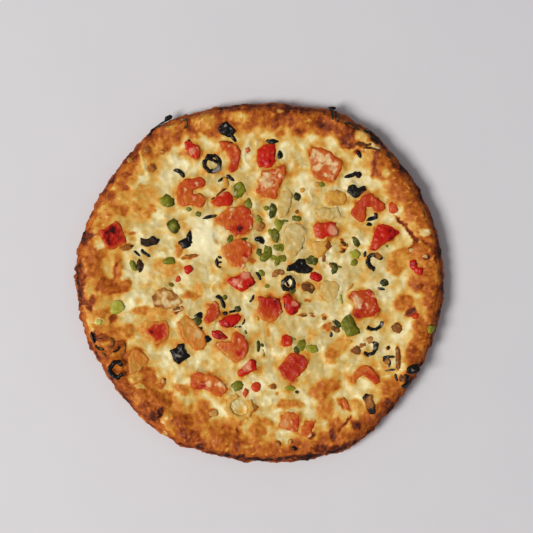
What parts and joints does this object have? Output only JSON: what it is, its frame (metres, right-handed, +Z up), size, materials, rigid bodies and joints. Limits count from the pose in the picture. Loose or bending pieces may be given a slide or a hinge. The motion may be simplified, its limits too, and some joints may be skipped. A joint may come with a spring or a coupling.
{
  "type": "vegetarian pizza",
  "caption": "Whole round vegetable pizza with a raised browned crust, melted cheese, and tomato, red and green pepper, black olive, onion and mushroom pieces.",
  "frame": {"origin": "middle of the flat underside", "axes": "+Z up out of the topping; +Y is the far side of the pizza as it lies, +X its right side"},
  "size_m": [0.2731, 0.2668, 0.0212],
  "materials": {
    "crust": "baked, dry",
    "cheese": "melted and browned",
    "tomato": "moist",
    "red_pepper": "moist",
    "olive": "moist",
    "green_pepper": "moist",
    "onion": "soft, translucent",
    "mushroom": "roasted"
  },
  "bodies": {
    "root": {"crust": "crust", "cheese": "cheese", "green_pepper_01": "green_pepper", "green_pepper_02": "green_pepper", "green_pepper_03": "green_pepper", "green_pepper_04": "green_pepper", "green_pepper_05": "green_pepper", "mushroom_01": "mushroom", "mushroom_02": "mushroom", "mushroom_03": "mushroom", "mushroom_04": "mushroom", "olive_01": "olive", "olive_02": "olive", "olive_03": "olive", "olive_04": "olive", "olive_05": "olive", "olive_06": "olive", "olive_07": "olive", "olive_08": "olive", "olive_09": "olive", "olive_10": "olive", "olive_11": "olive", "onion_01": "onion", "onion_02": "onion", "onion_03": "onion", "onion_04": "onion", "onion_05": "onion", "onion_06": "onion", "onion_07": "onion", "red_pepper_01": "red_pepper", "red_pepper_02": "red_pepper", "red_pepper_03": "red_pepper", "red_pepper_04": "red_pepper", "red_pepper_05": "red_pepper", "red_pepper_06": "red_pepper", "red_pepper_07": "red_pepper", "red_pepper_08": "red_pepper", "red_pepper_09": "red_pepper", "red_pepper_10": "red_pepper", "red_pepper_11": "red_pepper", "tomato_01": "tomato", "tomato_02": "tomato", "tomato_03": "tomato", "tomato_04": "tomato", "tomato_05": "tomato", "tomato_06": "tomato", "tomato_07": "tomato", "tomato_08": "tomato", "tomato_09": "tomato", "tomato_10": "tomato", "tomato_11": "tomato", "tomato_12": "tomato", "tomato_13": "tomato", "tomato_14": "tomato", "tomato_15": "tomato", "tomato_16": "tomato", "tomato_17": "tomato", "tomato_18": "tomato", "tomato_19": "tomato", "tomato_20": "tomato"}
  },
  "joints": []
}
